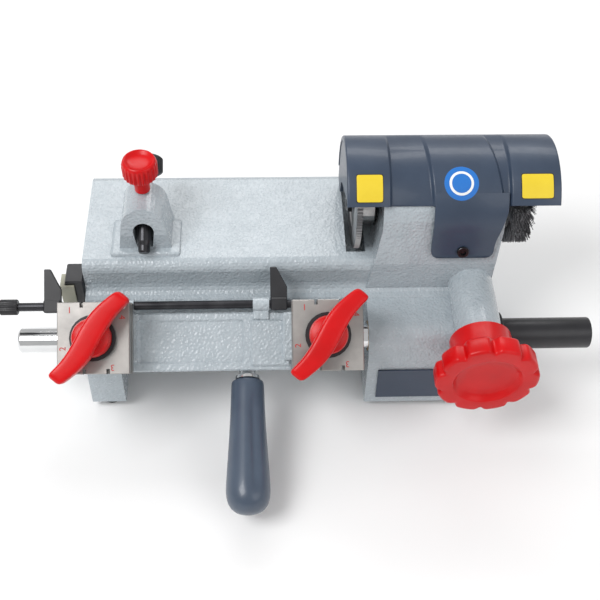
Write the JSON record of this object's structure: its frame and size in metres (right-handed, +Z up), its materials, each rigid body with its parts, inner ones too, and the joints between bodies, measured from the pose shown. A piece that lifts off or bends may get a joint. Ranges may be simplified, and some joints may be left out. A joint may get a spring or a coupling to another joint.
{
  "type": "key duplicating machine",
  "caption": "Benchtop key copying machine: cast base with a tracer tower and a hooded cutter, and a tilting, sliding carriage with clamps, gauge and handle.",
  "frame": {"origin": "centre of the machine's bounding box, on the surface it stands on", "axes": "+X along the carriage shaft to the operator's right, +Y to the rear, +Z up"},
  "size_m": [0.424, 0.255, 0.172],
  "materials": {
    "base_casting": "light blue-grey hammertone paint over a casting",
    "bottom_plate": "dark finished steel",
    "foot_1": "matt black rubber",
    "foot_2": "matt black rubber",
    "foot_3": "matt black rubber",
    "foot_4": "matt black rubber",
    "left_bush": "bearing bronze",
    "right_bush": "bearing bronze",
    "nameplate": "satin slate-blue plastic",
    "side_block": "satin black plastic",
    "side_bracket": "khaki painted bracket",
    "mains_inlet": "satin black plastic",
    "guard_tube": "satin black plastic",
    "cutter_hood": "satin slate-blue plastic",
    "hood_screw": "dark finished steel",
    "left_bearing": "ground steel",
    "right_bearing": "ground steel",
    "motor": "dark finished steel",
    "drive_belt": "matt black rubber",
    "carriage_shaft": "polished chromed steel",
    "carriage_casting": "light blue-grey hammertone paint over a casting",
    "handle_stem": "polished chromed steel",
    "handle_grip": "satin slate-blue plastic",
    "lower_jaw_left": "ground steel",
    "lower_jaw_right": "ground steel",
    "clamp_stud_left": "ground steel",
    "clamp_stud_right": "ground steel",
    "upper_jaw_left": "ground steel",
    "clamp_collar_left": "satin black plastic",
    "upper_jaw_right": "ground steel",
    "clamp_collar_right": "satin black plastic",
    "wing_knob_left": "satin red plastic",
    "wing_knob_right": "satin red plastic",
    "gauge_rod": "dark finished steel",
    "gauge_knob": "satin black plastic",
    "finger_left": "satin black plastic",
    "finger_right": "satin black plastic",
    "handwheel": "satin red plastic",
    "wheel_stem": "ground steel",
    "pinion": "ground steel",
    "tracer_pin": "dark finished steel",
    "tracer_adjuster": "satin black plastic",
    "lock_knob": "satin red plastic",
    "spindle": "ground steel",
    "cutter": "ground steel",
    "cutter_flange": "ground steel",
    "cutter_nut": "dark finished steel",
    "spindle_pulley": "dark finished steel",
    "brush_hub": "dark brown hub",
    "brush": "dense grey bristles",
    "motor_shaft": "ground steel",
    "motor_pulley": "dark finished steel"
  },
  "bodies": {
    "frame": {"base_casting": "base_casting", "bottom_plate": "bottom_plate", "foot_1": "foot_1", "foot_2": "foot_2", "foot_3": "foot_3", "foot_4": "foot_4", "left_bush": "left_bush", "right_bush": "right_bush", "nameplate": "nameplate", "side_block": "side_block", "side_bracket": "side_bracket", "mains_inlet": "mains_inlet", "guard_tube": "guard_tube", "cutter_hood": "cutter_hood", "hood_screw": "hood_screw", "left_bearing": "left_bearing", "right_bearing": "right_bearing", "motor": "motor", "drive_belt": "drive_belt"},
    "shaft": {"carriage_shaft": "carriage_shaft"},
    "carriage": {"carriage_casting": "carriage_casting", "handle_stem": "handle_stem", "handle_grip": "handle_grip", "lower_jaw_left": "lower_jaw_left", "lower_jaw_right": "lower_jaw_right", "clamp_stud_left": "clamp_stud_left", "clamp_stud_right": "clamp_stud_right"},
    "jaw_left": {"upper_jaw_left": "upper_jaw_left", "clamp_collar_left": "clamp_collar_left"},
    "jaw_right": {"upper_jaw_right": "upper_jaw_right", "clamp_collar_right": "clamp_collar_right"},
    "wing_left": {"wing_knob_left": "wing_knob_left"},
    "wing_right": {"wing_knob_right": "wing_knob_right"},
    "gauge": {"gauge_rod": "gauge_rod", "gauge_knob": "gauge_knob", "finger_left": "finger_left", "finger_right": "finger_right"},
    "handwheel": {"handwheel": "handwheel", "wheel_stem": "wheel_stem", "pinion": "pinion"},
    "tracer": {"tracer_pin": "tracer_pin"},
    "adjuster": {"tracer_adjuster": "tracer_adjuster"},
    "lock": {"lock_knob": "lock_knob"},
    "spindle": {"spindle": "spindle", "cutter": "cutter", "cutter_flange": "cutter_flange", "cutter_nut": "cutter_nut", "spindle_pulley": "spindle_pulley", "brush_hub": "brush_hub", "brush": "brush"},
    "motor_rotor": {"motor_shaft": "motor_shaft", "motor_pulley": "motor_pulley"}
  },
  "joints": [
    {"name": "carriage_slide", "type": "slide", "parent": "frame", "child": "shaft", "axis": [1, 0, 0], "range_m": [0, 0.04]},
    {"name": "carriage_swing", "type": "hinge", "parent": "shaft", "child": "carriage", "pos_m": [0.001, -0.00555, 0.064], "axis": [-1, 0, 0], "range_deg": [0, 30]},
    {"name": "gauge_flip", "type": "hinge", "parent": "carriage", "child": "gauge", "pos_m": [0.001, 0.00307, 0.09127], "axis": [1, 0, 0], "range_deg": [0, 90]},
    {"name": "jaw_lift_left", "type": "slide", "parent": "carriage", "child": "jaw_left", "axis": [0, -0.5878, 0.809], "range_m": [0, 0.003]},
    {"name": "jaw_lift_right", "type": "slide", "parent": "carriage", "child": "jaw_right", "axis": [0, -0.5878, 0.809], "range_m": [0, 0.003]},
    {"name": "wing_turn_left", "type": "hinge", "parent": "jaw_left", "child": "wing_left", "pos_m": [-0.1425, -0.03494, 0.10445], "axis": [0, -0.5878, 0.809], "continuous": true},
    {"name": "wing_turn_right", "type": "hinge", "parent": "jaw_right", "child": "wing_right", "pos_m": [0.0175, -0.03494, 0.10445], "axis": [0, -0.5878, 0.809], "continuous": true},
    {"name": "handwheel_turn", "type": "hinge", "parent": "frame", "child": "handwheel", "pos_m": [0.126, -0.00555, 0.083], "axis": [0, -1, 0], "range_deg": [0, 230]},
    {"name": "tracer_slide", "type": "slide", "parent": "frame", "child": "tracer", "axis": [0, 0.8829, 0.4695], "range_m": [0, 0.002]},
    {"name": "adjuster_turn", "type": "hinge", "parent": "tracer", "child": "adjuster", "pos_m": [-0.111, 0.09184, 0.14252], "axis": [0, 0.8829, 0.4695], "continuous": true},
    {"name": "tracer_lock", "type": "hinge", "parent": "frame", "child": "lock", "pos_m": [-0.111, 0.06695, 0.154], "axis": [0, 0, 1], "range_deg": [-180, 180]},
    {"name": "spindle_spin", "type": "hinge", "parent": "frame", "child": "spindle", "pos_m": [0.001, 0.07345, 0.128], "axis": [1, 0, 0], "continuous": true},
    {"name": "motor_spin", "type": "hinge", "parent": "frame", "child": "motor_rotor", "pos_m": [0.001, 0.06845, 0.046], "axis": [1, 0, 0], "continuous": true}
  ],
  "couplings": [
    {"joint": "handwheel_turn", "follows": "carriage_slide", "rad_per_m": 100},
    {"joint": "gauge_flip", "follows": "carriage_swing", "ratio": 3},
    {"joint": "motor_spin", "follows": "spindle_spin", "ratio": 1.4286}
  ]
}
